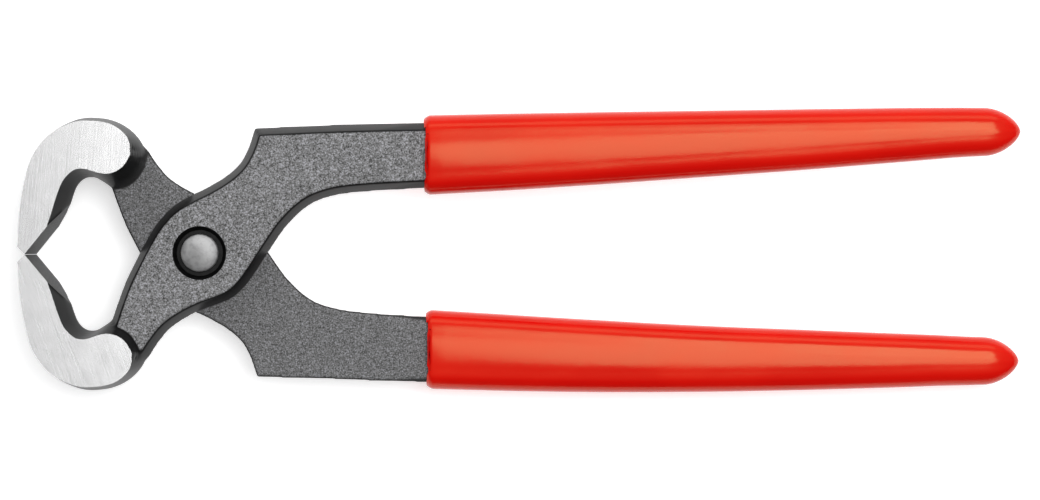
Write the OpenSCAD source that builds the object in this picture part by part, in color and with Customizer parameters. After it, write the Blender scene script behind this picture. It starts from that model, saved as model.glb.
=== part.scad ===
// End-cutting tile nippers with dipped handles: two like forgings, lapped and riveted.
// Millimetres. The rivet's axis is Z, the halves meet on the plane z = 0, and the handles run to +X.
// Each forging has its arm on one side of that plane and its jaw across both sides, so a half
// turn about X makes one half into the other.

/* [Head] */
// Distance from the rivet's axis to the cutting edges
nip_reach = 38.7; // [38.2:0.1:39.4]
// Width of the jaws across their ground faces
jaw_width = 24; // [19:0.5:30]
// Thickness of each forging at the joint
arm_thickness = 7; // [5.5:0.1:7.6]
// Slope taken off the throat and shoulder side of the arm, over its thickness
outer_draft = 1.8; // [1:0.1:2.2]
// Slope taken off the other side of the arm, over its thickness
inner_draft = 1.5; // [1:0.1:2]
// Angle of the ground bevel behind the cutting edge, from the line of the nip
back_bevel = 45; // [35:1:50]
// Angle of the ground bevel inside the throat, from the line of the nip
throat_bevel = 50.6; // [46:0.2:56]
// Gap left between the cutting edges when the nippers are shut
nip_gap = 0.1; // [0.05:0.05:0.3]
// Running gap between the two forgings where they lap
lap_gap = 0.1; // [0.06:0.02:0.2]

/* [Handles] */
// Distance from the rivet's axis to the tip of the grips
grip_reach = 185; // [165:1:200]
// Where the grips begin
grip_start = 50.6; // [46:0.2:56]
// Wall of the dipped sleeve
grip_wall = 1.5; // [1:0.1:1.8]
// Thickness of a grip at its mouth
grip_thickness = 10; // [9.4:0.1:12]
// Squareness of the grip's section at its mouth, where 2 is an ellipse
grip_squareness = 4.5; // [4.2:0.1:6]
// How far the rear handle bows outward at mid length
rear_bow = 1.3; // [0:0.1:2]
// How far the front handle bows outward at mid length
front_bow = 0; // [0:0.1:2]

/* [Rivet] */
// Diameter of the rivet's shank
rivet_d = 7; // [6:0.1:7.6]
// Diameter of its domed heads
rivet_head_d = 8.4; // [8.2:0.1:10]
// Height of the dome on each head
dome_height = 1.5; // [1:0.1:2.2]
// Diameter of the recess round each head, at the face of the forging
recess_d = 12.1; // [11:0.1:14]
// Depth of that recess
recess_depth = 1.8; // [1.2:0.1:2.4]
// Radial clearance of the shank in the front forging, which turns on it
pivot_clearance = 0.05; // [0.02:0.01:0.09]
// Clearance under the front head
head_clearance = 0.08; // [0.05:0.01:0.15]

/* [Hidden] */
$fn = 96;

half_jaw = jaw_width / 2;
land = 0.6;           // half height of the square edge left along the jaw's parting line
edge_break = 0.25;    // broken edge round the lap face
top_round = 0.6;      // rounded edge round the arm's outer face
spare = 60;           // size of the solids that grind the bevels
grip_sides = 28;      // points round a ring of the grip
throat_bevel_length = 16; // how far the throat bevel may run from the cutting edge
throat_bevel_depth = 8;   // and how deep it may cut
recess_slope = 0.9;   // how far the recess narrows from its mouth to its floor
head_sink = 0.2;      // how far the rim of a dome lies below the face round its recess
arc_middle = 0.3;     // how far in from its corner the middle of a rounded edge lies, as a share
full_slope_width = 8; // width below which an arm has less than its full slopes

// The jaw as ribs from the nip round to the end of its lobe. Each rib has its outer and inner
// point on the parting line, then the same two on the ground face.
jaw_ribs = [
    [[-41.5, 2.0], [-33.0, 2.0], [-40.4, 2.0], [-35.5, 2.0]],
    [[-41.4, -3.0], [-31.6, -3.5], [-40.2, -3.0], [-34.6, -3.5]],
    [[-41.0, -9.0], [-30.3, -8.6], [-39.8, -9.0], [-32.8, -8.8]],
    [[-39.9, -15.5], [-29.0, -13.0], [-38.8, -15.3], [-31.4, -13.2]],
    [[-37.8, -22.0], [-27.9, -15.6], [-36.9, -21.8], [-29.9, -16.6]],
    [[-33.6, -27.5], [-26.2, -17.1], [-32.9, -26.8], [-27.4, -18.9]],
    [[-27.6, -30.5], [-24.0, -17.3], [-27.5, -29.5], [-24.9, -19.0]],
    [[-22.6, -30.7], [-21.8, -16.1], [-22.8, -29.7], [-22.4, -18.2]],
    [[-18.9, -29.8], [-20.0, -15.0], [-19.3, -29.0], [-20.2, -17.9]],
    [[-15.9, -28.0], [-17.4, -15.2], [-17.0, -27.6], [-18.2, -18.4]],
    [[-13.7, -25.6], [-14.9, -16.8], [-15.6, -26.1], [-16.5, -19.6]],
    [[-12.6, -23.3], [-12.7, -20.0], [-14.9, -24.1], [-15.3, -21.4]],
];

// The arm as ribs from inside the jaw to the shoulder's corner. Each rib has its throat and
// shoulder point, its opposite point, and its lowest and highest level with its lap edge break.
arm_levels = [lap_gap / 2, arm_thickness, edge_break];
neck_ribs = [
    [[-22.6, -20.6], [-19.6, -26.6], arm_levels],
    [[-21.3, -17.6], [-15.6, -25.6], arm_levels],
    [[-20.2, -14.4], [-12.5, -24.0], arm_levels],
    [[-19.0, -10.9], [-10.2, -20.7], arm_levels],
    [[-17.2, -6.2], [-7.5, -17.4], arm_levels],
    [[-15.1, -2.0], [-4.0, -14.9], arm_levels],
    [[-12.8, 2.4], [0.0, -12.9], arm_levels],
    [[-10.0, 6.9], [4.0, -11.5], arm_levels],
    [[-6.5, 10.6], [7.3, -10.0], arm_levels],
    [[-2.5, 13.0], [10.0, -7.5], arm_levels],
    [[1.8, 15.1], [12.3, -4.4], arm_levels],
    [[5.8, 17.5], [14.4, -1.2], arm_levels],
    [[8.8, 20.2], [16.6, 2.1], arm_levels],
    [[10.8, 23.8], [19.0, 5.5], arm_levels],
    [[12.2, 28.25], [21.8, 8.5], arm_levels],
];
// The same from the shoulder's corner to the start of the handle
shank_ribs = [
    neck_ribs[len(neck_ribs) - 1],
    [[20.0, 28.5], [25.6, 11.2], arm_levels],
    [[30.0, 28.85], [31.5, 12.95], arm_levels],
    [[40.0, 29.05], [40.0, 13.7], arm_levels],
];

// The grip's centre line and half width, as fractions of the way from its mouth to its tip
grip_centre = [[0, 21.65], [0.13, 22.15], [0.3, 22.9], [0.46, 23.65],
    [0.63, 24.45], [0.8, 25.35], [0.9, 25.85], [1, 25.95]];
grip_half_width = [[0, 9.0], [0.13, 8.72], [0.3, 8.17], [0.46, 7.55],
    [0.63, 6.9], [0.8, 6.12], [0.9, 5.6], [1, 5.2]];
bow_start = 30;       // the handle's bow runs from here
bow_end = 168;        // to here
tip_length = 9;       // length over which the grip's width closes to its tip
tip_thinning = 22;    // length over which its thickness does
tip_roundness = 0.6;  // shape of its plan there, where 1 is a sharp point
wedge_roundness = 0.4; // and of its side view
end_squareness = 3;   // squareness of the grip's section at its tip
mouth_round = 0.9;    // rolled edge at the grip's mouth
mouth_turn = 22.5;    // degrees of turn from one ring to the next there
tip_first_turn = 12;  // degrees of turn to the first ring of the grip's tip
tip_turn = 13;        // and from one ring to the next
grip_taper = 0.8;     // how much thinner each side of the grip is before its tip
tang_end = 5;         // how far the tang stops short of the grip's tip
tang_tip = 6;         // length over which the tang closes
tang_roundness = 0.5; // shape of its plan there, where 1 is a sharp point
tang_turn = 15;       // degrees of turn from one rib to the next there
tang_taper = 2;       // how much thinner the tang is at its end
tang_round = 1.2;     // broken lap edge of the tang
least = 0.4;          // smallest half size of a closed end

// ---- Curves ----

// Point at fraction t of the way from b to c on the smooth curve through a, b, c and d
function on_curve(a, b, c, d, t) =
    0.5 * (2 * b + (c - a) * t + (2 * a - 5 * b + 4 * c - d) * t * t
    + (3 * b - a - 3 * c + d) * t * t * t);

// Ribs on a smooth run through the given ones, with `steps` of them to each gap
function run(ribs, steps) =
    let (last = len(ribs) - 1)
    [
        for (i = [0 : last - 1], s = [0 : steps - 1])
            on_curve(ribs[max(i - 1, 0)], ribs[i], ribs[i + 1], ribs[min(i + 2, last)], s / steps),
        ribs[last]
    ];

function unit(v) = v / norm(v);
function left_of(v) = [-v.y, v.x];
function reversed(list) = [for (i = [len(list) - 1 : -1 : 0]) list[i]];
function without_first(list) = [for (i = [1 : len(list) - 1]) list[i]];

// Point i of an open line, moved to the line's left, with corners kept sharp
function moved_left(line, i, distance) =
    let (
        k = min(max(i, 1), len(line) - 1),
        m = min(i, len(line) - 2),
        n1 = left_of(unit(line[k] - line[k - 1])),
        n2 = left_of(unit(line[m + 1] - line[m]))
    )
    line[i] + distance * (n1 + n2) / (1 + n1 * n2);

// Closed solid through a row of sections, each a ring with the same number of points
module loft(sections) {
    ring = len(sections[0]);
    last = len(sections) - 1;
    polyhedron(
        points = [for (section = sections) each section],
        faces = concat(
            [for (k = [1 : ring - 2]) [0, k, k + 1]],
            [
                for (i = [0 : last - 1], j = [0 : ring - 1])
                    let (a = i * ring + j, b = i * ring + (j + 1) % ring)
                    each [[a, a + ring, b], [b, a + ring, b + ring]]
            ],
            [for (k = [1 : ring - 2]) [last * ring, last * ring + k + 1, last * ring + k]]
        )
    );
}

// ---- Handle ----

// How far x is along the grip, from 0 at its mouth to 1 at its tip
function share_at(x) = (x - grip_start) / (grip_reach - grip_start);
function bow_at(x, bow) =
    x < bow_start || x > bow_end ? 0 : bow * sin(180 * (x - bow_start) / (bow_end - bow_start));
function centre_at(x, bow) = lookup(share_at(x), grip_centre) + bow_at(x, bow);
function half_width_at(x) = lookup(share_at(x), grip_half_width);
// How full a rounded end is at a distance from its point
function fullness(distance, length, roundness) =
    distance >= length ? 1 : pow(sin(90 * max(distance, 0) / length), roundness);

// The tang as a rib: the grip's outline less its wall, thinner towards its end
function tang_rib(x, bow) =
    let (
        end = grip_reach - tang_end,
        centre = centre_at(x, bow),
        full = (half_width_at(x) - grip_wall) * fullness(end - x, tang_tip, tang_roundness),
        half = max(least, full),
        thinner = tang_taper * max(0, share_at(x)) / 2
    )
    [[x, centre + half], [x, centre - half],
        [lap_gap / 2 + thinner, arm_thickness - thinner, min(tang_round, half / 2)]];

function tang_run(bow) =
    let (end = grip_reach - tang_end, straight = end - tang_tip, steps = 14)
    [
        for (k = [0 : steps]) tang_rib(grip_start + (straight - grip_start) * k / steps, bow),
        for (a = [tang_turn : tang_turn : 90]) tang_rib(straight + tang_tip * sin(a), bow)
    ];

function shank_run(bow) = [
    for (rib = run(shank_ribs, 4))
        [rib[0] + [0, bow_at(rib[0].x, bow)], rib[1] + [0, bow_at(rib[1].x, bow)], rib[2]]
];

// ---- Forging ----

// One side of an arm section, from its lap face up: each level with how far it stands in
function arm_side(levels, draft) =
    let (low = levels[0], high = levels[1], round = levels[2])
    [
        [low, round],
        [low + round, 0],
        [high - top_round, draft],
        [high - arc_middle * top_round, draft + arc_middle * top_round],
        [high, draft + top_round]
    ];

module arm(bow) {
    ribs = concat(run(neck_ribs, 3), without_first(shank_run(bow)), tang_run(bow));
    shoulder = [for (rib = ribs) rib[0]];
    inner = [for (rib = ribs) rib[1]];
    loft([
        for (i = [0 : len(ribs) - 1])
            let (
                slim = min(1, norm(shoulder[i] - inner[i]) / full_slope_width),
                up = arm_side(ribs[i][2], outer_draft * slim),
                down = reversed(arm_side(ribs[i][2], inner_draft * slim))
            )
            concat(
                [for (p = up) concat(moved_left(shoulder, i, -p[1] * slim), p[0])],
                [for (p = down) concat(moved_left(inner, i, p[1] * slim), p[0])]
            )
    ]);
}

module jaw() {
    loft([
        for (rib = run(jaw_ribs, 4))
            [
                concat(rib[2], half_jaw), concat(rib[0], land),
                concat(rib[0], -land), concat(rib[2], -half_jaw),
                concat(rib[3], -half_jaw), concat(rib[1], -land),
                concat(rib[1], land), concat(rib[3], half_jaw)
            ]
    ]);
}

// What the grinder takes off to leave the cutting edge
module bevels() {
    translate([-nip_reach, -nip_gap / 2, -spare / 2]) {
        rotate([0, 0, 90 + back_bevel])
            translate([0, -spare / 2, 0])
                cube(spare);
        rotate([0, 0, 90 - throat_bevel])
            translate([0, -throat_bevel_length, 0])
                cube([throat_bevel_depth, spare, spare]);
    }
}

// Hole for the rivet and the recess round its head
module rivet_seat(hole_d) {
    translate([0, 0, -arm_thickness])
        cylinder(d = hole_d, h = 3 * arm_thickness);
    translate([0, 0, arm_thickness - recess_depth])
        cylinder(
            d1 = recess_d - 2 * recess_slope,
            d2 = recess_d + 2 * recess_slope,
            h = 2 * recess_depth
        );
}

module forging(bow, hole_d) {
    difference() {
        union() {
            jaw();
            arm(bow);
        }
        bevels();
        rivet_seat(hole_d);
    }
}

// ---- Sub-parts ----

module front_lever() {
    color([0.36, 0.36, 0.38])
        forging(front_bow, rivet_d + 2 * pivot_clearance);
}

module rear_lever() {
    color([0.3, 0.3, 0.32])
        rotate([180, 0, 0])
            forging(rear_bow, rivet_d);
}

// Domed head, standing on the floor of its recess
module rivet_head(floor_level) {
    rim = arm_thickness - head_sink;
    radius = rivet_head_d / 2;
    ball = (radius * radius + dome_height * dome_height) / (2 * dome_height);
    intersection() {
        translate([0, 0, floor_level])
            cylinder(d = rivet_head_d, h = arm_thickness);
        translate([0, 0, rim + dome_height - ball])
            sphere(r = ball);
    }
}

module rivet() {
    floor_level = arm_thickness - recess_depth;
    color([0.68, 0.68, 0.7]) {
        translate([0, 0, -floor_level])
            cylinder(d = rivet_d, h = 2 * floor_level + head_clearance);
        rivet_head(floor_level + head_clearance);
        rotate([180, 0, 0])
            rivet_head(floor_level);
    }
}

// Ring round the grip: a rounded oblong across the handle, `inset` smaller all round
function grip_ring(x, bow, inset) =
    let (
        share = share_at(x),
        to_tip = grip_reach - x,
        half_width = max(least, half_width_at(x) * fullness(to_tip, tip_length, tip_roundness)),
        slab = grip_thickness / 2 - grip_taper * share,
        half_height = max(least, slab * fullness(to_tip, tip_thinning, wedge_roundness)),
        power = 2 / (grip_squareness + (end_squareness - grip_squareness) * share),
        middle = (arm_thickness + lap_gap / 2) / 2
    )
    [
        for (k = [0 : grip_sides - 1])
            let (c = cos(360 * k / grip_sides), s = sin(360 * k / grip_sides))
            [
                x,
                centre_at(x, bow) + (half_width - inset) * sign(c) * pow(abs(c), power),
                middle + (half_height - inset) * sign(s) * pow(abs(s), power)
            ]
    ];

module sleeve(bow) {
    body_start = grip_start + mouth_round;
    body_end = grip_reach - tip_length;
    steps = 20;
    loft(concat(
        [
            for (a = [0 : mouth_turn : 90 - mouth_turn])
                grip_ring(body_start - mouth_round * cos(a), bow, mouth_round * (1 - sin(a)))
        ],
        [
            for (k = [0 : steps])
                grip_ring(body_start + (body_end - body_start) * k / steps, bow, 0)
        ],
        [for (a = [tip_first_turn : tip_turn : 90]) grip_ring(body_end + tip_length * sin(a), bow, 0)]
    ));
}

module grip(bow) {
    difference() {
        sleeve(bow);
        arm(bow);
    }
}

module front_grip() {
    color([0.86, 0.09, 0.08])
        grip(front_bow);
}

module rear_grip() {
    color([0.8, 0.07, 0.06])
        rotate([180, 0, 0])
            grip(rear_bow);
}

rear_lever();
front_lever();
rivet();
rear_grip();
front_grip();
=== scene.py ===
"""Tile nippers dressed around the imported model: two forged levers, a rivet and two dipped grips.

All sizes are metres in the model's own frame. Z is the rivet's axis, the levers lap on the plane
z = 0, the cutting edges are at -X and the handles run to +X.
"""

import logging
import math
from dataclasses import dataclass
from enum import Enum
from typing import Callable, Iterable, Sequence

import bpy
import numpy as np
from mathutils import Matrix, Vector


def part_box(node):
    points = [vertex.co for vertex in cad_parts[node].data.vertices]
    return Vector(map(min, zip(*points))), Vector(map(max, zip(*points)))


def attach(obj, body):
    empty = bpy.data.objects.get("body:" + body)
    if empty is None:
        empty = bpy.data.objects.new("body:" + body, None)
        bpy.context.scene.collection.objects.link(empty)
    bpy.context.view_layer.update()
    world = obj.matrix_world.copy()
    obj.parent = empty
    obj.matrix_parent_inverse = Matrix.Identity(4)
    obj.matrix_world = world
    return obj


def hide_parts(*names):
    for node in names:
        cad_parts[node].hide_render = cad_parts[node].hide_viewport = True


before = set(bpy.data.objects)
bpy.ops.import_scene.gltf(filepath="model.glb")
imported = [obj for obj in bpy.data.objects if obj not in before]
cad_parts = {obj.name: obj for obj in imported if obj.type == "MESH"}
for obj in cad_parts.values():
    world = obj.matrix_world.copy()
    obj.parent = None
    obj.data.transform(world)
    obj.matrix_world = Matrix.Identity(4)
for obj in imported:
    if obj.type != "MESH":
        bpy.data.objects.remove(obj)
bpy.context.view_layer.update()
LOG = logging.getLogger("nippers")
MM = 0.001
FULL_TURN = 2 * math.pi
FLOOR_GAP = 0.05 * MM  # how far the floor is below the lowest steel
WELD = 0.002 * MM  # points nearer than this are one
NEAR = 0.001 * MM  # and two places nearer than this are the same


class Half(Enum):
    """Which forging a piece belongs to: its name, its body and its arm's side of the lap plane."""

    FRONT = ("front", "front_half", 1)
    REAR = ("rear", "rear_half", -1)

    @property
    def word(self) -> str:
        """The half's name."""
        return self.value[0]

    @property
    def body(self) -> str:
        """The CAD body that the half moves with."""
        return self.value[1]

    @property
    def side(self) -> int:
        """1 where the arm is above the lap plane, and -1 where it is below."""
        return self.value[2]


class Cut(Enum):
    """What a face of a forging is, which settles its finish."""

    FORGED = 0
    GROUND = 1
    BEVEL = 2
    RECESS = 3


# ---- Bench tools -------------------------------------------------------------------------------


def select_only(piece: bpy.types.Object) -> None:
    """Make one object the only selected and active one.

    Args:
        piece: the object to work on.
    """
    if bpy.context.mode != "OBJECT":
        bpy.ops.object.mode_set(mode="OBJECT")
    bpy.ops.object.select_all(action="DESELECT")
    piece.hide_set(False)
    piece.select_set(True)
    bpy.context.view_layer.objects.active = piece


def start_edit(piece: bpy.types.Object, mode: str = "VERT") -> None:
    """Open a piece in edit mode with nothing selected.

    Args:
        piece: the object to edit.
        mode: VERT, EDGE or FACE.
    """
    select_only(piece)
    bpy.ops.object.mode_set(mode="EDIT")
    bpy.ops.mesh.select_mode(type=mode)
    bpy.ops.mesh.select_all(action="DESELECT")


def end_edit() -> None:
    """Leave edit mode."""
    bpy.ops.object.mode_set(mode="OBJECT")


def pick_vertices(piece: bpy.types.Object, wanted: Callable[[Vector], bool]) -> None:
    """Select vertices by their place.

    Args:
        piece: the object, in object or edit mode, left in edit mode.
        wanted: says whether a vertex at a point is picked.
    """
    start_edit(piece, "VERT")
    end_edit()
    for vertex in piece.data.vertices:
        vertex.select = wanted(vertex.co)
    bpy.ops.object.mode_set(mode="EDIT")


def pick_faces(piece: bpy.types.Object, wanted: Callable[[Vector, Vector], bool]) -> int:
    """Select faces by their place and direction.

    Args:
        piece: the object, left in edit mode.
        wanted: says whether a face with a centre and a normal is picked.

    Returns:
        How many faces were picked.
    """
    start_edit(piece, "FACE")
    end_edit()
    count = 0
    for face in piece.data.polygons:
        face.select = wanted(face.center, face.normal)
        count += face.select
    bpy.ops.object.mode_set(mode="EDIT")
    return count


def apply_modifier(piece: bpy.types.Object, kind: str, **settings: object) -> None:
    """Add a modifier, set it and apply it.

    Args:
        piece: the object to change.
        kind: Blender's name for the modifier.
        settings: the modifier's own settings.
    """
    select_only(piece)
    modifier = piece.modifiers.new(kind.lower(), kind)
    for name, value in settings.items():
        setattr(modifier, name, value)
    bpy.ops.object.modifier_apply(modifier=modifier.name)


def cut_away(piece: bpy.types.Object, tool: bpy.types.Object) -> None:
    """Take a tool's shape out of a piece, and remove the tool.

    Args:
        piece: the object that is cut.
        tool: a closed shape.
    """
    apply_modifier(piece, "BOOLEAN", operation="DIFFERENCE", solver="EXACT", object=tool)
    bpy.data.objects.remove(tool)


def settle(piece: bpy.types.Object) -> None:
    """Put a piece's place into its mesh, so that its object is at the origin and unturned.

    Args:
        piece: the object to settle.
    """
    select_only(piece)
    bpy.ops.object.transform_apply(location=True, rotation=True, scale=True)


def shade(piece: bpy.types.Object, degrees: float) -> None:
    """Shade smooth, with sharp edges past an angle.

    Args:
        piece: the object to shade.
        degrees: the angle past which an edge is sharp.
    """
    select_only(piece)
    bpy.ops.object.shade_smooth_by_angle(angle=math.radians(degrees))


def block(name: str, corner: Vector, size: Vector, turn: float = 0.0) -> bpy.types.Object:
    """A box standing with one edge on a point, turned about that upright edge.

    Args:
        name: the object's name.
        corner: where the box's own origin goes.
        size: its length, width and height, the width centred and the height centred on the origin.
        turn: how far it is turned about Z, in radians.

    Returns:
        The box, settled.
    """
    bpy.ops.mesh.primitive_cube_add(size=1)
    made = bpy.context.object
    made.name = name
    made.scale = size
    made.location = corner + Matrix.Rotation(turn, 3, "Z") @ Vector((size.x / 2, 0, 0))
    made.rotation_euler = (0, 0, turn)
    settle(made)
    return made


# ---- Finishes ----------------------------------------------------------------------------------


class Nodes:
    """Short hand for building one material's nodes."""

    def __init__(self, name: str) -> None:
        """Start a material with an empty principled surface.

        Args:
            name: the material's name.
        """
        self.material = bpy.data.materials.new(name)
        self.material.use_nodes = True
        self.tree = self.material.node_tree
        self.surface = self.tree.nodes["Principled BSDF"]

    def add(self, kind: str, **settings: object) -> bpy.types.Node:
        """Add a node and set its own properties.

        Args:
            kind: Blender's name for the node.
            settings: the properties and their values.

        Returns:
            The node.
        """
        node = self.tree.nodes.new(kind)
        for key, value in settings.items():
            setattr(node, key, value)
        return node

    def link(self, source: bpy.types.NodeSocket, target: bpy.types.NodeSocket) -> None:
        """Join two sockets."""
        self.tree.links.new(source, target)

    def place(self, scale: Sequence[float] = (1, 1, 1), turn: float = 0.0) -> bpy.types.NodeSocket:
        """Object coordinates, turned about Z and then stretched.

        Args:
            scale: the stretch along each turned axis.
            turn: the turn in radians.

        Returns:
            The coordinates' socket.
        """
        where = self.add("ShaderNodeTexCoord").outputs["Object"]
        turned = self.add("ShaderNodeMapping")
        turned.inputs["Rotation"].default_value = (0, 0, turn)
        self.link(where, turned.inputs["Vector"])
        stretched = self.add("ShaderNodeMapping")
        stretched.inputs["Scale"].default_value = scale
        self.link(turned.outputs["Vector"], stretched.inputs["Vector"])
        return stretched.outputs["Vector"]

    def noise(
        self, where: bpy.types.NodeSocket, scale: float, detail: float = 2.0, rough: float = 0.5
    ) -> bpy.types.NodeSocket:
        """Fractal noise.

        Args:
            where: the coordinates.
            scale: cycles a metre.
            detail: octaves.
            rough: how strong the finer octaves are.

        Returns:
            The noise's value socket.
        """
        node = self.add("ShaderNodeTexNoise")
        node.inputs["Scale"].default_value = scale
        node.inputs["Detail"].default_value = detail
        node.inputs["Roughness"].default_value = rough
        self.link(where, node.inputs["Vector"])
        return node.outputs["Fac"]

    def ramp(
        self, value: bpy.types.NodeSocket, stops: Iterable[tuple[float, Sequence[float]]]
    ) -> bpy.types.NodeSocket:
        """Colours along a value.

        Args:
            value: the value's socket.
            stops: places from 0 to 1 with their red, green and blue.

        Returns:
            The colour's socket.
        """
        node = self.add("ShaderNodeValToRGB")
        elements = node.color_ramp.elements
        stops = list(stops)
        while len(elements) < len(stops):
            elements.new(0.5)
        for element, (place, colour) in zip(elements, stops):
            element.position = place
            element.color = (*colour, 1)
        self.link(value, node.inputs["Fac"])
        return node.outputs["Color"]

    def remap(
        self, value: bpy.types.NodeSocket, source: Sequence[float], target: Sequence[float]
    ) -> bpy.types.NodeSocket:
        """A value moved smoothly from one range to another, and held at the ends.

        Args:
            value: the value's socket.
            source: the range it comes in.
            target: the range it goes out in.

        Returns:
            The new value's socket.
        """
        node = self.add("ShaderNodeMapRange", interpolation_type="SMOOTHSTEP")
        for key, number in zip(("From Min", "From Max", "To Min", "To Max"), (*source, *target)):
            node.inputs[key].default_value = number
        self.link(value, node.inputs["Value"])
        return node.outputs["Result"]

    def blend(
        self,
        share: bpy.types.NodeSocket | float,
        a: bpy.types.NodeSocket,
        b: bpy.types.NodeSocket,
        how: str = "MIX",
    ) -> bpy.types.NodeSocket:
        """Two colours mixed.

        Args:
            share: how much of the second one, as a socket or a number.
            a: the first colour.
            b: the second colour.
            how: Blender's name for the way of mixing.

        Returns:
            The mixed colour's socket.
        """
        node = self.add("ShaderNodeMix", data_type="RGBA", blend_type=how)
        if isinstance(share, bpy.types.NodeSocket):
            self.link(share, node.inputs["Factor"])
        else:
            node.inputs["Factor"].default_value = share
        self.link(a, node.inputs["A"])
        self.link(b, node.inputs["B"])
        return node.outputs["Result"]

    def times(
        self, a: bpy.types.NodeSocket, b: bpy.types.NodeSocket | float
    ) -> bpy.types.NodeSocket:
        """Two values multiplied.

        Args:
            a: the first value.
            b: the second one, as a socket or a number.

        Returns:
            The product's socket.
        """
        node = self.add("ShaderNodeMath", operation="MULTIPLY")
        self.link(a, node.inputs[0])
        if isinstance(b, bpy.types.NodeSocket):
            self.link(b, node.inputs[1])
        else:
            node.inputs[1].default_value = b
        return node.outputs["Value"]

    def plus(self, a: bpy.types.NodeSocket, b: bpy.types.NodeSocket) -> bpy.types.NodeSocket:
        """Two values added.

        Args:
            a: the first value.
            b: the second value.

        Returns:
            The sum's socket.
        """
        node = self.add("ShaderNodeMath", operation="ADD")
        self.link(a, node.inputs[0])
        self.link(b, node.inputs[1])
        return node.outputs["Value"]

    def grey(
        self, value: bpy.types.NodeSocket, stops: Iterable[tuple[float, float]]
    ) -> bpy.types.NodeSocket:
        """Greys along a value.

        Args:
            value: the value's socket.
            stops: places from 0 to 1 with their grey.

        Returns:
            The colour's socket.
        """
        return self.ramp(value, [(place, [level] * 3) for place, level in stops])

    def facing_z(self, low: float, high: float) -> bpy.types.NodeSocket:
        """1 on faces square to Z and 0 on steep ones.

        Args:
            low: the normal's Z part at which it starts to rise from 0.
            high: the part at which it reaches 1.

        Returns:
            The mask's socket.
        """
        normal = self.add("ShaderNodeTexCoord").outputs["Normal"]
        parts = self.add("ShaderNodeSeparateXYZ")
        self.link(normal, parts.inputs["Vector"])
        size = self.add("ShaderNodeMath", operation="ABSOLUTE")
        self.link(parts.outputs["Z"], size.inputs[0])
        return self.remap(size.outputs["Value"], (low, high), (0, 1))

    def bump(self, height: bpy.types.NodeSocket, depth: float) -> None:
        """Raise the surface by a height map.

        Args:
            height: a value from 0 to 1.
            depth: how far 1 stands above 0, in metres.
        """
        node = self.add("ShaderNodeBump")
        node.inputs["Strength"].default_value = 1.0
        node.inputs["Distance"].default_value = depth
        self.link(height, node.inputs["Height"])
        self.link(node.outputs["Normal"], self.surface.inputs["Normal"])

    def set(self, **numbers: object) -> None:
        """Set sockets of the surface that are the same all over.

        Args:
            numbers: the sockets' values, each named as its socket is with _ for a space.
        """
        for key, value in numbers.items():
            self.surface.inputs[key.replace("_", " ")].default_value = value


@dataclass(frozen=True)
class ForgedSkin:
    """Shot-blasted forging with a thin dark coat: grained flats and smooth sides. The sides' darker
    grey is partly the coat and partly painted shade. It is deepest as painted shade by the face
    edge, and lighter as a painted floor reflection towards the lap plane.
    """

    name: str
    flat_dark: float = 0.035
    flat_light: float = 0.42
    # Side greys: the darker one is painted shade next to the face edge, and the lighter one is a
    # painted floor reflection towards the lap plane. They are blended over the height given below.
    side_grey_and_edge_shade: float = 0.010
    side_grey_and_floor_reflection: float = 0.040
    edge_shade_height: float = 6.2 * MM
    mid_share: float = 0.46
    blue_cast: float = 1.08
    flat_cloud: float = 0.86
    side_cloud: float = 0.72
    steep: float = 0.72
    square: float = 0.97
    grain: float = 2900.0
    grain_share: float = 0.72
    pebble: float = 1250.0
    pebble_share: float = 0.28
    mottle: float = 260.0
    grain_depth: float = 0.18 * MM
    flat_roughness: float = 0.62
    side_roughness: float = 0.30
    ior: float = 1.08

    def make(self) -> bpy.types.Material:
        """Build the material.

        Returns:
            The material.
        """
        n = Nodes(self.name)
        flat = n.facing_z(self.steep, self.square)
        where = n.place()
        fine = n.plus(
            n.times(n.noise(where, self.grain, 2.0, 0.6), self.grain_share),
            n.times(n.noise(where, self.pebble, 2.0, 0.6), self.pebble_share),
        )
        coarse = n.noise(where, self.mottle, 3.0, 0.55)
        middle = self.mid_share * (self.flat_dark + self.flat_light)
        grey = n.ramp(
            fine,
            [
                (0.34, [self.flat_dark] * 3),
                (0.52, [middle] * 3),
                (0.66, [self.flat_light, self.flat_light, self.flat_light * self.blue_cast]),
            ],
        )
        # Painted shade and reflection on the sides: darker towards the face edge, lighter towards
        # the lap plane.
        level = n.add("ShaderNodeSeparateXYZ")
        n.link(where, level.inputs["Vector"])
        away = n.add("ShaderNodeMath", operation="ABSOLUTE")
        n.link(level.outputs["Z"], away.inputs[0])
        outward = n.remap(away.outputs["Value"], (0, self.edge_shade_height), (0, 1))
        side = n.grey(outward, [(0, self.side_grey_and_floor_reflection), (1, self.side_grey_and_edge_shade)])
        side = n.blend(1.0, side, n.grey(coarse, [(0.3, self.side_cloud), (0.7, 1)]), "MULTIPLY")
        face = n.blend(1.0, grey, n.grey(coarse, [(0.3, self.flat_cloud), (0.7, 1)]), "MULTIPLY")
        # Sides and flats mixed by facing: the sides' darker grey is partly the dark coat and partly
        # painted shade.
        colour = n.blend(flat, side, face)
        n.link(colour, n.surface.inputs["Base Color"])
        n.link(
            n.remap(flat, (0, 1), (self.side_roughness, self.flat_roughness)),
            n.surface.inputs["Roughness"],
        )
        n.set(Metallic=0.0, IOR=self.ior)
        n.bump(n.times(fine, flat), self.grain_depth)
        return n.material


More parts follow.
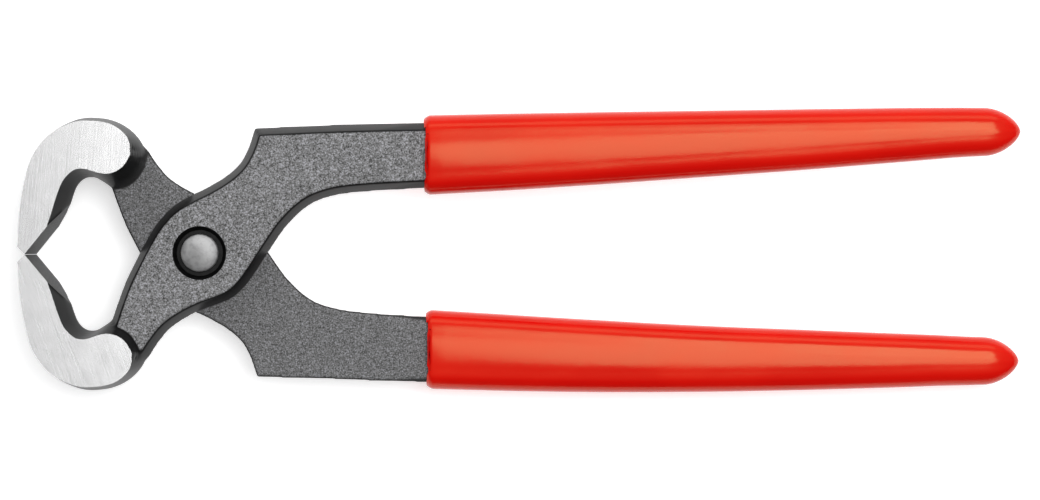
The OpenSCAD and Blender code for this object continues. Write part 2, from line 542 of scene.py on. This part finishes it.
@dataclass(frozen=True)
class GroundSteel:
    """Bright steel off the belt, with streaks that run one way."""

    name: str
    streak_turn: float
    dark: float = 0.42
    light: float = 0.50
    across: float = 2400.0
    along: float = 90.0
    scratch_across: float = 5280.0
    scratch_along: float = 22.0
    scratch_turn: float = 0.06
    scratch_dark: float = 0.90
    blotch: float = 180.0
    blotch_dark: float = 0.93
    roughness: float = 0.24
    depth: float = 0.006 * MM

    def make(self) -> bpy.types.Material:
        """Build the material.

        Returns:
            The material.
        """
        n = Nodes(self.name)
        where = n.place((self.across, self.along, self.along), self.streak_turn)
        streaks = n.noise(where, 1.0, 4.0, 0.6)
        scratched = n.place(
            (self.scratch_across, self.scratch_along, self.scratch_along),
            self.streak_turn + self.scratch_turn,
        )
        grey = n.grey(streaks, [(0.30, self.dark), (0.52, self.light * 0.96), (0.75, self.light)])
        marks = n.grey(n.noise(scratched, 1.0, 2.0), [(0.28, self.scratch_dark), (0.40, 1)])
        cloud = n.grey(
            n.noise(n.place(), self.blotch, 2.0), [(0.35, self.blotch_dark), (0.65, 1)]
        )
        colour = n.blend(1.0, n.blend(1.0, grey, marks, "MULTIPLY"), cloud, "MULTIPLY")
        n.link(colour, n.surface.inputs["Base Color"])
        n.link(
            n.remap(streaks, (0.3, 0.7), (self.roughness + 0.04, self.roughness - 0.03)),
            n.surface.inputs["Roughness"],
        )
        n.set(Metallic=1.0)
        n.bump(streaks, self.depth)
        return n.material


@dataclass(frozen=True)
class DarkSteel:
    """Smooth dark steel, such as a throat bevel or the inside of the rivet's recess. In the recess,
    its near-black grey is partly painted shade of the recess.
    """

    name: str
    dark: float
    light: float
    scale: float
    roughness: float
    metallic: float = 0.6
    ior: float = 1.2
    depth: float = 0.02 * MM

    def make(self) -> bpy.types.Material:
        """Build the material.

        Returns:
            The material.
        """
        n = Nodes(self.name)
        grain = n.noise(n.place(), self.scale, 3.0, 0.6)
        n.link(
            n.grey(grain, [(0.35, self.dark), (0.68, self.light)]),
            n.surface.inputs["Base Color"],
        )
        n.link(
            n.remap(grain, (0.3, 0.7), (self.roughness, self.roughness + 0.12)),
            n.surface.inputs["Roughness"],
        )
        n.set(Metallic=self.metallic, IOR=self.ior)
        n.bump(grain, self.depth)
        return n.material


@dataclass(frozen=True)
class RivetSteel:
    """A formed dome with a satin surface. Its crown is greyed darker than its rim as painted shade
    that dims the overhead light's reflection there.
    """

    name: str
    # The crown's darker grey is painted shade against the overhead light's reflection.
    crown_grey_shaded: float = 0.30
    rim_grey: float = 0.52
    crown: float = 0.5 * MM
    rim: float = 3.4 * MM
    spots: float = 900.0
    stain: float = 0.72
    roughness: tuple[float, float] = (0.58, 0.68)
    depth: float = 0.015 * MM

    def make(self) -> bpy.types.Material:
        """Build the material.

        Returns:
            The material.
        """
        n = Nodes(self.name)
        where = n.place((1, 1, 0))
        length = n.add("ShaderNodeVectorMath", operation="LENGTH")
        n.link(where, length.inputs[0])
        outward = n.remap(length.outputs["Value"], (self.crown, self.rim), (0, 1))
        spots = n.noise(n.place(), self.spots, 3.0, 0.6)
        # Painted shade: darker grey at the crown, lighter towards the rim.
        grey = n.grey(outward, [(0, self.crown_grey_shaded), (1, self.rim_grey)])
        stain = n.grey(spots, [(0.30, self.stain), (0.55, 1)])
        n.link(n.blend(1.0, grey, stain, "MULTIPLY"), n.surface.inputs["Base Color"])
        n.link(n.remap(spots, (0.3, 0.7), self.roughness), n.surface.inputs["Roughness"])
        n.set(Metallic=1.0)
        n.bump(spots, self.depth)
        return n.material


@dataclass(frozen=True)
class DippedVinyl:
    """Glossy dipped vinyl with a faint orange peel."""

    name: str
    colour: tuple[float, float, float] = (0.64, 0.003, 0.0015)
    deep: tuple[float, float, float] = (0.60, 0.002, 0.0015)
    tint: tuple[float, float, float, float] = (0.75, 0.95, 0.45, 1.0)
    ior: float = 1.37
    roughness: tuple[float, float] = (0.16, 0.23)
    peel: float = 420.0
    drift: float = 45.0
    swell: float = 3.0
    depth: float = 0.02 * MM

    def make(self) -> bpy.types.Material:
        """Build the material.

        Returns:
            The material.
        """
        n = Nodes(self.name)
        slow = n.noise(n.place((1, 2, 2)), self.drift, 2.0)
        peel = n.noise(n.place(), self.peel, 2.0)
        n.link(
            n.ramp(slow, [(0.35, self.deep), (0.65, self.colour)]), n.surface.inputs["Base Color"]
        )
        n.link(n.remap(slow, (0.3, 0.7), self.roughness), n.surface.inputs["Roughness"])
        n.set(IOR=self.ior, Specular_Tint=self.tint)
        n.bump(n.plus(peel, n.times(slow, self.swell)), self.depth)
        return n.material


@dataclass(frozen=True)
class PaleFloor:
    """Matt pale studio floor."""

    name: str
    pale: float = 0.88
    drift: float = 0.01
    cloud: float = 3.0
    roughness: float = 0.9
    glow: float = 0.48

    def make(self) -> bpy.types.Material:
        """Build the material.

        Returns:
            The material.
        """
        n = Nodes(self.name)
        cloud = n.noise(n.place(), self.cloud, 2.0)
        grey = n.grey(cloud, [(0.3, self.pale - self.drift), (0.7, self.pale)])
        n.link(grey, n.surface.inputs["Base Color"])
        n.set(
            Roughness=self.roughness, Emission_Color=(1, 1, 1, 1), Emission_Strength=self.glow
        )
        return n.material


# ---- Sub-assemblies ----------------------------------------------------------------------------


@dataclass
class Forging:
    """One lever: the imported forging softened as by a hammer, then ground and drilled again."""

    half: Half
    skin: bpy.types.Material
    ground: bpy.types.Material
    bevel: bpy.types.Material
    recess: bpy.types.Material
    nip_reach: float = 38.7 * MM
    nip_gap: float = 0.1 * MM
    arm_thickness: float = 7.0 * MM
    back_bevel: float = math.radians(45)
    throat_bevel: float = math.radians(50.6)
    throat_bevel_length: float = 16.0 * MM
    throat_bevel_depth: float = 8.0 * MM
    recess_radius: float = 6.05 * MM
    recess_depth: float = 1.8 * MM
    recess_slope: float = 0.9 * MM
    hole_radius: float = 3.55 * MM
    root_x: float = -15.2 * MM
    root_y: float = 22.3 * MM
    root_radius: float = 2.9 * MM
    root_top: float = 0.5 * MM
    bevel_end: float = -31.0 * MM
    bevel_reach: float = -25.0 * MM
    stock: float = 0.8 * MM
    lap: float = 0.05 * MM
    square: float = 0.999
    flat: float = 0.99
    aligned: float = 0.9995
    face_skin: float = 0.02 * MM
    recess_rim: float = 0.01 * MM
    plug_sides: int = 64
    root_sides: int = 48
    bore_sides: int = 96
    voxel: float = 0.4 * MM
    softening: int = 8
    sharp_past: float = 62.0

    def build(self) -> bpy.types.Object:
        """Make the lever.

        Returns:
            The finished piece.
        """
        piece = self.blank()
        self.leave_grinding_stock(piece)
        self.fill_out(piece)
        self.forge(piece)
        self.grind(piece)
        self.drill(piece)
        self.dress(piece)
        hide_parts(self.node)
        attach(piece, self.half.body)
        return piece

    @property
    def node(self) -> str:
        """The CAD node's name."""
        return f"{self.half.word}_lever"

    @property
    def jaw_face(self) -> float:
        """Height of the ground jaw faces above and below the lap plane."""
        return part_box(self.node)[1].z

    @property
    def jaw_side(self) -> int:
        """1 where the jaw is at +Y, and -1 where it is at -Y."""
        return -self.half.side

    def bevel_normals(self) -> tuple[Vector, Vector]:
        """Which way the ground bevels face.

        Returns:
            The back bevel's normal and the throat bevel's.
        """
        side = self.half.side
        back = Vector((-math.sin(self.back_bevel), side * math.cos(self.back_bevel), 0))
        throat = Vector((math.sin(self.throat_bevel), side * math.cos(self.throat_bevel), 0))
        return back, throat

    def blank(self) -> bpy.types.Object:
        """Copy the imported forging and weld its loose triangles.

        Returns:
            The copy, free of its body.
        """
        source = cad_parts[self.node]
        piece = bpy.data.objects.new(f"{self.half.word}_forging", source.data.copy())
        piece.data.materials.clear()
        bpy.context.scene.collection.objects.link(piece)
        start_edit(piece)
        bpy.ops.mesh.select_all(action="SELECT")
        bpy.ops.mesh.remove_doubles(threshold=WELD)
        end_edit()
        return piece

    def leave_grinding_stock(self, piece: bpy.types.Object) -> None:
        """Raise every face that is ground later, so that the softening can't reach it.

        Args:
            piece: the blank.
        """
        height = self.jaw_face - self.lap
        for sign in (1, -1):
            pick_faces(piece, lambda at, way: sign * way.z > self.square and sign * at.z > height)
            bpy.ops.mesh.extrude_region_move(
                TRANSFORM_OT_translate={"value": (0, 0, sign * self.stock)}
            )
        for normal in self.bevel_normals():
            pick_faces(
                piece, lambda at, way: way.dot(normal) > self.aligned and at.x < self.bevel_end
            )
            bpy.ops.mesh.extrude_region_move(TRANSFORM_OT_translate={"value": normal * self.stock})
        end_edit()

    def fill_out(self, piece: bpy.types.Object) -> None:
        """Plug the rivet's seat, and build up the root where the jaw rises from the arm.

        Args:
            piece: the blank.
        """
        bpy.ops.mesh.primitive_cylinder_add(
            vertices=self.plug_sides,
            radius=self.recess_radius + self.stock,
            depth=self.arm_thickness - self.lap,
            location=(0, 0, self.half.side * (self.arm_thickness + self.lap) / 2),
        )
        added = [bpy.context.object]
        for sign in (1, -1):
            bpy.ops.mesh.primitive_cone_add(
                vertices=self.root_sides,
                radius1=self.root_radius if sign > 0 else self.root_top,
                radius2=self.root_top if sign > 0 else self.root_radius,
                depth=self.jaw_face,
                location=(self.root_x, self.jaw_side * self.root_y, sign * self.jaw_face / 2),
            )
            added.append(bpy.context.object)
        for lump in added:
            settle(lump)
        select_only(piece)
        for lump in added:
            lump.select_set(True)
        bpy.ops.object.join()

    def forge(self, piece: bpy.types.Object) -> None:
        """Round the edges and fillet the corners, as a forging's are.

        Args:
            piece: the blank.
        """
        apply_modifier(piece, "REMESH", mode="VOXEL", voxel_size=self.voxel)
        apply_modifier(piece, "SMOOTH", factor=0.5, iterations=self.softening)

    def grind(self, piece: bpy.types.Object) -> None:
        """Grind the jaw's side faces and the bevels that make its cutting edge.

        Args:
            piece: the forging.
        """
        wide = 5 * self.jaw_face
        for sign in (1, -1):
            bpy.ops.mesh.primitive_cube_add(
                size=wide, location=(-self.nip_reach, 0, sign * (self.jaw_face + wide / 2))
            )
            settle(bpy.context.object)
            cut_away(piece, bpy.context.object)
        edge = Vector((-self.nip_reach, -self.half.side * self.nip_gap / 2, 0))
        tall = 4 * self.jaw_face
        back, throat = self.bevel_normals()
        wheels = (
            ("back_wheel", back, Vector((tall, tall, tall))),
            (
                "throat_wheel",
                throat,
                Vector((self.throat_bevel_depth, 2 * self.throat_bevel_length, tall)),
            ),
        )
        for name, normal, size in wheels:
            cut_away(piece, block(name, edge, size, math.atan2(normal.y, normal.x)))

    def drill(self, piece: bpy.types.Object) -> None:
        """Drill the rivet's hole and sink the recess round its head.

        Args:
            piece: the forging.
        """
        side = self.half.side
        bpy.ops.mesh.primitive_cylinder_add(
            vertices=self.bore_sides,
            radius=self.hole_radius,
            depth=4 * self.arm_thickness,
            location=(0, 0, 0),
        )
        cut_away(piece, bpy.context.object)
        floor = self.arm_thickness - self.recess_depth
        narrow = self.recess_radius - self.recess_slope
        wide = self.recess_radius + self.recess_slope
        bpy.ops.mesh.primitive_cone_add(
            vertices=self.bore_sides,
            radius1=narrow if side > 0 else wide,
            radius2=wide if side > 0 else narrow,
            depth=2 * self.recess_depth,
            location=(0, 0, side * (floor + self.recess_depth)),
        )
        cut_away(piece, bpy.context.object)

    def sort_faces(self, piece: bpy.types.Object) -> np.ndarray:
        """Tell from each face's place and direction what made it.

        Args:
            piece: the forging.

        Returns:
            The number of a Cut for each face.
        """
        count = len(piece.data.polygons)
        centre = np.empty(count * 3, np.float32)
        normal = np.empty(count * 3, np.float32)
        piece.data.polygons.foreach_get("center", centre)
        piece.data.polygons.foreach_get("normal", normal)
        centre, normal = centre.reshape(-1, 3), normal.reshape(-1, 3)
        kind = np.full(count, Cut.FORGED.value, np.int32)
        on_face = np.abs(centre[:, 2]) > self.jaw_face - self.face_skin
        kind[on_face & (np.abs(normal[:, 2]) > self.flat)] = Cut.GROUND.value
        for way in self.bevel_normals():
            facing = normal @ np.array(way, np.float32) > self.aligned
            kind[facing & (centre[:, 0] < self.bevel_reach)] = Cut.BEVEL.value
        radius = np.hypot(centre[:, 0], centre[:, 1])
        level = self.half.side * centre[:, 2]
        sunk = (level > 2 * self.lap) & (level < self.arm_thickness - self.recess_rim)
        # Faces inside the recess get the near-black recess steel, which is partly painted shade of
        # the recess.
        kind[(radius < self.recess_radius) & sunk] = Cut.RECESS.value
        return kind

    def dress(self, piece: bpy.types.Object) -> None:
        """Give each face its finish by what made it, and keep the cuts' outlines sharp.

        Args:
            piece: the forging.
        """
        for material in (self.skin, self.ground, self.bevel, self.recess):
            piece.data.materials.append(material)
        piece.data.polygons.foreach_set("material_index", self.sort_faces(piece))
        shade(piece, self.sharp_past)
        for slot in range(1, len(Cut)):
            start_edit(piece, "FACE")
            piece.active_material_index = slot
            bpy.ops.object.material_slot_select()
            bpy.ops.mesh.region_to_loop()
            bpy.ops.mesh.mark_sharp()
            end_edit()


@dataclass
class Rivet:
    """The rivet: a shank with a domed head at each end, turned as one shape."""

    finish: bpy.types.Material
    shank_radius: float = 3.5 * MM
    head_radius: float = 4.2 * MM
    dome_height: float = 1.5 * MM
    head_floor: float = 5.2 * MM
    rim: float = 6.8 * MM
    head_clearance: float = 0.08 * MM
    dome_steps: int = 14
    turns: int = 96
    edge_break: float = 0.25 * MM
    broken_past: float = 40.0
    sharp_past: float = 35.0

    def profile(self) -> list[Vector]:
        """The outline from the top of the front dome to the bottom of the rear one.

        Returns:
            Points in the XZ plane, the first and last on the axis.
        """
        ball = (self.head_radius**2 + self.dome_height**2) / (2 * self.dome_height)
        dome = []
        for k in range(self.dome_steps + 1):
            lean = math.asin(self.head_radius / ball) * k / self.dome_steps
            drop = ball * (1 - math.cos(lean))
            dome.append((ball * math.sin(lean), self.rim + self.dome_height - drop))
        front_floor = self.head_floor + self.head_clearance
        front = dome + [(self.head_radius, front_floor), (self.shank_radius, front_floor)]
        rear = dome + [(self.head_radius, self.head_floor), (self.shank_radius, self.head_floor)]
        outline = front + [(r, -z) for r, z in reversed(rear)]
        return [Vector((r, 0, z)) for r, z in outline]

    def build(self) -> bpy.types.Object:
        """Make the rivet.

        Returns:
            The finished piece.
        """
        points = self.profile()
        bpy.ops.mesh.primitive_plane_add(size=self.rim, location=points[0])
        piece = bpy.context.object
        piece.name = "rivet_turned"
        settle(piece)
        start_edit(piece)
        bpy.ops.mesh.select_all(action="SELECT")
        bpy.ops.mesh.merge(type="CENTER")
        for a, b in zip(points, points[1:]):
            bpy.ops.mesh.extrude_vertices_move(TRANSFORM_OT_translate={"value": b - a})
        bpy.ops.mesh.select_all(action="SELECT")
        bpy.ops.mesh.spin(
            steps=self.turns, angle=FULL_TURN, center=(0, 0, 0), axis=(0, 0, 1), use_auto_merge=True
        )
        bpy.ops.mesh.select_all(action="SELECT")
        bpy.ops.mesh.remove_doubles(threshold=WELD)
        bpy.ops.mesh.normals_make_consistent(inside=False)
        end_edit()
        apply_modifier(
            piece,
            "BEVEL",
            width=self.edge_break,
            segments=3,
            limit_method="ANGLE",
            angle_limit=math.radians(self.broken_past),
        )
        piece.data.materials.append(self.finish)
        shade(piece, self.sharp_past)
        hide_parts("rivet")
        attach(piece, Half.REAR.body)
        return piece


@dataclass
class Grip:
    """A dipped sleeve: a round-cornered bar drawn along the handle, hollow for the tang."""

    half: Half
    finish: bpy.types.Material
    bow: float
    wall: float = 1.3 * MM
    corner: float = 4.1 * MM
    corner_cuts: int = 9
    crown: float = 0.42 * MM
    crown_cuts: int = 7
    crown_edge: float = 0.048 * MM
    mouth_dip: float = 0.12 * MM
    mouth_dips: tuple[float, ...] = (0.85, 0.65, 0.45, 0.25)
    mouth_inset: float = 0.8 * MM
    mouth_flattening: float = 0.6
    mouth_length: float = 1.6 * MM
    mouth_roll: float = 0.42
    taper: float = 0.8 * MM
    end_length: float = 8.4 * MM
    end_roundness: float = 0.58
    drop_length: float = 7.5 * MM
    drop_roundness: float = 0.45
    bow_start: float = 30 * MM
    bow_end: float = 168 * MM
    point: float = 0.03 * MM
    mouth_steps: int = 5
    body_steps: int = 36
    end_steps: int = 14
    sharp_past: float = 50.0

    # Share of the way from mouth to tip, with the centre line's Y and the half width there in mm
    spine = (
        (0.00, 21.65, 9.00),
        (0.13, 22.15, 8.72),
        (0.30, 22.90, 8.17),
        (0.46, 23.65, 7.55),
        (0.63, 24.45, 6.90),
        (0.80, 25.35, 6.12),
        (0.90, 25.85, 5.60),
        (1.00, 25.95, 5.20),
    )

    def __post_init__(self) -> None:
        """Take the sleeve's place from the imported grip."""
        low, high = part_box(f"{self.half.word}_grip")
        self.start, self.end = low.x, high.x
        self.middle = (low.z + high.z) / 2
        self.thickness = high.z - low.z

    def share(self, x: float) -> float:
        """How far x is along the grip, from 0 at its mouth to 1 at its tip."""
        return (x - self.start) / (self.end - self.start)

    def centre(self, x: float) -> float:
        """Find the middle of the grip's width.

        Args:
            x: a place along the handle.

        Returns:
            Y of the centre line there.
        """
        shares, centres, _ = zip(*self.spine)
        along = (x - self.bow_start) / (self.bow_end - self.bow_start)
        bend = self.bow * math.sin(math.pi * along) if 0 < along < 1 else 0.0
        return self.half.side * (float(np.interp(self.share(x), shares, centres)) * MM + bend)

    def drawn_in(self, x: float) -> float:
        """How far the mouth's rolled edge is drawn in at x."""
        return self.mouth_inset * max(0.0, 1 - (x - self.start) / self.mouth_length) ** 2

    def half_width(self, x: float) -> float:
        """Find half the grip's width, before the tip closes.

        Args:
            x: a place along the handle.

        Returns:
            The half width there.
        """
        shares, _, widths = zip(*self.spine)
        full = float(np.interp(self.share(x), shares, widths)) * MM
        return full - self.drawn_in(x)

    def half_height(self, x: float) -> float:
        """Half the grip's thickness at x, before the tip closes."""
        full = self.thickness / 2 - self.taper * self.share(x)
        return full - self.mouth_flattening * self.drawn_in(x)

    def closing(self, x: float) -> tuple[float, float]:
        """Find how far the tip has closed.

        Args:
            x: a place along the handle.

        Returns:
            The share of its full width and the share of its full thickness that the grip has.
        """
        left = max(self.end - x, self.point)
        quarter = FULL_TURN / 4
        wide = math.sin(quarter * min(1.0, left / self.end_length)) ** self.end_roundness
        tall = math.sin(quarter * min(1.0, left / self.drop_length)) ** self.drop_roundness
        return wide, tall

    def stations(self) -> list[float]:
        """Where the sleeve's rings are.

        Returns:
            X of each ring, from the mouth to the tip.
        """
        closing = max(self.end_length, self.drop_length)
        turn = self.end - closing
        lip = self.start + self.mouth_length
        step = self.mouth_length / self.mouth_steps
        mouth = [self.start + step * k for k in range(self.mouth_steps)]
        body = [lip + (turn - lip) * k / self.body_steps for k in range(self.body_steps)]
        angle = FULL_TURN / 4 / self.end_steps
        tip = [turn + closing * math.sin(angle * k) for k in range(self.end_steps + 1)]
        return mouth + body + tip

    def section(self) -> bpy.types.Object:
        """The sleeve's section at the mouth: a round-cornered oblong with a crowned top.

        Returns:
            One face across the handle.
        """
        place = Vector((self.start, self.centre(self.start), self.middle))
        half_wide, half_tall = self.half_width(self.start), self.half_height(self.start)
        bpy.ops.mesh.primitive_plane_add(
            size=2, location=place, rotation=(math.pi / 2, 0, math.pi / 2)
        )
        piece = bpy.context.object
        piece.name = f"{self.half.word}_sleeve"
        piece.scale = (half_wide, half_tall, 1)
        settle(piece)
        pick_vertices(piece, lambda at: True)
        bpy.ops.mesh.bevel(
            offset=self.corner, segments=self.corner_cuts, affect="VERTICES", profile=0.5
        )
        top = self.middle + half_tall - NEAR
        pick_vertices(piece, lambda at: at.z > top)
        bpy.ops.mesh.subdivide(number_cuts=self.crown_cuts)
        end_edit()
        flat = half_wide - self.corner
        for k in range(self.crown_cuts // 2 + 1):
            out = 1 - 2 * (k + 1) / (self.crown_cuts + 1)
            level = Vector((0, 0, self.crown * (1 - out**2)))
            pick_vertices(
                piece,
                lambda at: at.z > top and abs(abs(at.y - place.y) - out * flat) < 10 * NEAR,
            )
            bpy.ops.transform.translate(value=level)
        end_edit()
        return piece

    def widen(self, piece: bpy.types.Object, x: float, before: float, after: float) -> None:
        """Bring one ring from one half width to another and keep the radius of its corners.

        Args:
            piece: the sleeve.
            x: where the ring is.
            before: its half width now.
            after: its half width wanted.
        """
        axis = self.centre(x)
        flat = before - self.corner - NEAR
        crowned = flat - self.crown_edge
        for sign in (1, -1):
            pick_vertices(
                piece, lambda at: abs(at.x - x) < NEAR and sign * (at.y - axis) > flat
            )
            bpy.ops.transform.translate(value=(0, sign * (after - before), 0))
        pick_vertices(
            piece,
            lambda at: abs(at.x - x) < NEAR
            and abs(at.y - axis) < crowned
            and at.z > self.middle,
        )
        share = (after - self.corner) / (before - self.corner)
        top = self.middle + self.half_height(x)
        bpy.ops.transform.resize(value=(1, share, share), center_override=(x, axis, top))

    def build(self) -> bpy.types.Object:
        """Make the grip.

        Returns:
            The finished piece.
        """
        piece = self.section()
        places = self.stations()
        for a, b in zip(places, places[1:]):
            pick_vertices(piece, lambda at: abs(at.x - a) < NEAR)
            step = Vector((b - a, self.centre(b) - self.centre(a), 0))
            bpy.ops.mesh.extrude_region_move(TRANSFORM_OT_translate={"value": step})
            (wide_a, tall_a), (wide_b, tall_b) = self.closing(a), self.closing(b)
            tall = tall_b * self.half_height(b) / (tall_a * self.half_height(a))
            bpy.ops.transform.resize(
                value=(1, wide_b / wide_a, tall), center_override=(b, self.centre(b), self.middle)
            )
            if wide_b == 1:
                self.widen(piece, b, self.half_width(a), self.half_width(b))
        end_edit()
        self.open_mouth(piece)
        apply_modifier(piece, "SOLIDIFY", thickness=self.wall, offset=-1, use_even_offset=True)
        self.roll_mouth(piece)
        piece.data.materials.append(self.finish)
        shade(piece, self.sharp_past)
        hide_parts(f"{self.half.word}_grip")
        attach(piece, self.half.body)
        return piece

    def open_mouth(self, piece: bpy.types.Object) -> None:
        """Turn the skin outward, take off the face across the mouth and set its middle back.

        Args:
            piece: the drawn bar.
        """
        lip = self.start + 10 * NEAR
        start_edit(piece)
        bpy.ops.mesh.select_all(action="SELECT")
        bpy.ops.mesh.remove_doubles(threshold=WELD)
        bpy.ops.mesh.normals_make_consistent(inside=False)
        end_edit()
        if pick_faces(piece, lambda at, way: at.x < lip and abs(way.x) > 0.9):
            bpy.ops.mesh.delete(type="ONLY_FACE")
        axis, wide = self.centre(self.start), self.half_width(self.start)
        deep = self.start + 0.45 * self.mouth_length
        for share in self.mouth_dips:
            reach = share * wide
            pick_vertices(piece, lambda at: at.x < deep and abs(at.y - axis) < reach)
            bpy.ops.transform.translate(value=(self.mouth_dip, 0, 0))
        end_edit()

    def roll_mouth(self, piece: bpy.types.Object) -> None:
        """Round both edges of the rim at the mouth.

        Args:
            piece: the hollow sleeve.
        """
        reach = self.start + 8 * self.mouth_dip
        pick_faces(piece, lambda at, way: at.x < reach and way.x < -0.8)
        bpy.ops.mesh.region_to_loop()
        bpy.ops.mesh.bevel(
            offset=self.mouth_roll * self.wall, segments=4, affect="EDGES", profile=0.5
        )
        end_edit()


@dataclass(frozen=True)
class SoftLight:
    """A rectangular soft light: where it hangs, its width and height, and its power in watts."""

    name: str
    at: tuple[float, float, float]
    size: tuple[float, float]
    watts: float

    def hang(self, target: Vector) -> None:
        """Hang the light.

        Args:
            target: the point that it faces.
        """
        data = bpy.data.lights.new(self.name, "AREA")
        data.shape = "RECTANGLE"
        data.size, data.size_y = self.size
        data.energy = self.watts
        light = bpy.data.objects.new(self.name, data)
        light.location = self.at
        light.rotation_euler = (target - Vector(self.at)).to_track_quat("-Z", "Y").to_euler()
        bpy.context.scene.collection.objects.link(light)


@dataclass
class Studio:
    """A pale floor, a soft overhead light, a strip behind the handles and the camera above."""

    floor_level: float
    camera_x: float = 72.03 * MM
    camera_y: float = 0.11 * MM
    camera_height: float = 955 * MM
    camera_roll: float = math.radians(-0.45)
    field_width: float = 235.3 * MM
    sensor: float = 36.0
    near_clip: float = 0.05
    far_clip: float = 20.0
    floor_size: float = 4.0

    lights = (
        SoftLight("overhead_box", (0.33, 0.11, 1.20), (0.68, 0.78), 9.4),
        SoftLight("overhead_strip", (0.33, 0.34, 1.19), (0.68, 0.24), 1.0),
        SoftLight("back_strip", (0.05, 0.95, 0.70), (1.5, 0.40), 3.4),
    )
    # Which way the room brightens, and its grey at places along that way
    sky_way = (0, 0.66, 0.75)
    sky_greys = ((0.0, 0.12), (0.30, 0.36), (0.60, 0.48), (0.75, 0.76), (1.0, 0.62))
    sky_blue_cast = 1.01

    def build(self) -> None:
        """Set up the floor, the lights and the camera."""
        self.lay_floor()
        self.set_sky()
        for light in self.lights:
            light.hang(Vector((self.camera_x, 0, 0)))
        self.place_camera()

    def lay_floor(self) -> None:
        """Lay the floor under the jaws."""
        bpy.ops.mesh.primitive_plane_add(
            size=self.floor_size, location=(0, 0, self.floor_level)
        )
        floor = bpy.context.object
        floor.name = "studio_floor"
        settle(floor)
        floor.data.materials.append(PaleFloor("pale_floor").make())

    def set_sky(self) -> None:
        """Light the room from above and behind, with a dim front."""
        world = bpy.data.worlds.new("studio_room")
        world.use_nodes = True
        bpy.context.scene.world = world
        nodes, links = world.node_tree.nodes, world.node_tree.links
        where = nodes.new("ShaderNodeTexCoord")
        along = nodes.new("ShaderNodeVectorMath")
        along.operation = "DOT_PRODUCT"
        along.inputs[1].default_value = self.sky_way
        ramp = nodes.new("ShaderNodeValToRGB")
        while len(ramp.color_ramp.elements) < len(self.sky_greys):
            ramp.color_ramp.elements.new(0.5)
        for element, (place, grey) in zip(ramp.color_ramp.elements, self.sky_greys):
            element.position = place
            element.color = (grey, grey, self.sky_blue_cast * grey, 1)
        links.new(where.outputs["Generated"], along.inputs[0])
        links.new(along.outputs["Value"], ramp.inputs["Fac"])
        links.new(ramp.outputs["Color"], nodes["Background"].inputs["Color"])
        nodes["Background"].inputs["Strength"].default_value = 1.0

    def place_camera(self) -> None:
        """Look straight down on the nippers."""
        data = bpy.data.cameras.new("overhead_camera")
        data.sensor_width = self.sensor
        data.lens = self.sensor * self.camera_height / self.field_width
        data.clip_start, data.clip_end = self.near_clip, self.far_clip
        camera = bpy.data.objects.new("overhead_camera", data)
        camera.location = (self.camera_x, self.camera_y, self.camera_height)
        camera.rotation_euler = (0, 0, self.camera_roll)
        bpy.context.scene.collection.objects.link(camera)
        bpy.context.scene.camera = camera
        bpy.context.scene.view_settings.view_transform = "Standard"


def report(piece: bpy.types.Object) -> None:
    """Log a finished piece.

    Args:
        piece: the piece.
    """
    mesh = piece.data
    LOG.info("%s: %d vertices, %d faces", piece.name, len(mesh.vertices), len(mesh.polygons))


def main() -> None:
    """Build every piece in order."""
    logging.basicConfig(level=logging.INFO, format="%(name)s %(message)s")
    skin = ForgedSkin("blasted_forging").make()
    # The rear lever's lap face gets darker flats, partly for its smoother lap and partly as painted
    # shade of the lower lever.
    lap_skin_shaded = ForgedSkin("blasted_lap_shaded", flat_dark=0.04, flat_light=0.31).make()
    bevel = DarkSteel(
        "ground_bevel", dark=0.01, light=0.13, scale=2200.0, roughness=0.55, metallic=0.2
    ).make()
    # Near-black steel for the recess, which is partly painted shade of the recess.
    recess = DarkSteel(
        "recess_steel_and_shade", dark=0.006, light=0.014, scale=900.0, roughness=0.38
    ).make()
    upper_face = GroundSteel("ground_face_rear", math.radians(4)).make()
    lower_face = GroundSteel("ground_face_front", math.radians(-20), dark=0.46, light=0.55).make()
    vinyl = DippedVinyl("red_vinyl").make()
    report(Forging(Half.REAR, lap_skin_shaded, upper_face, bevel, recess, hole_radius=3.5 * MM).build())
    report(Forging(Half.FRONT, skin, lower_face, bevel, recess).build())
    report(Rivet(RivetSteel("formed_rivet").make()).build())
    report(Grip(Half.REAR, vinyl, bow=1.3 * MM).build())
    report(Grip(Half.FRONT, vinyl, bow=0.0).build())
    Studio(floor_level=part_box("rear_lever")[0].z - FLOOR_GAP).build()


if __name__ == "__main__":
    main()
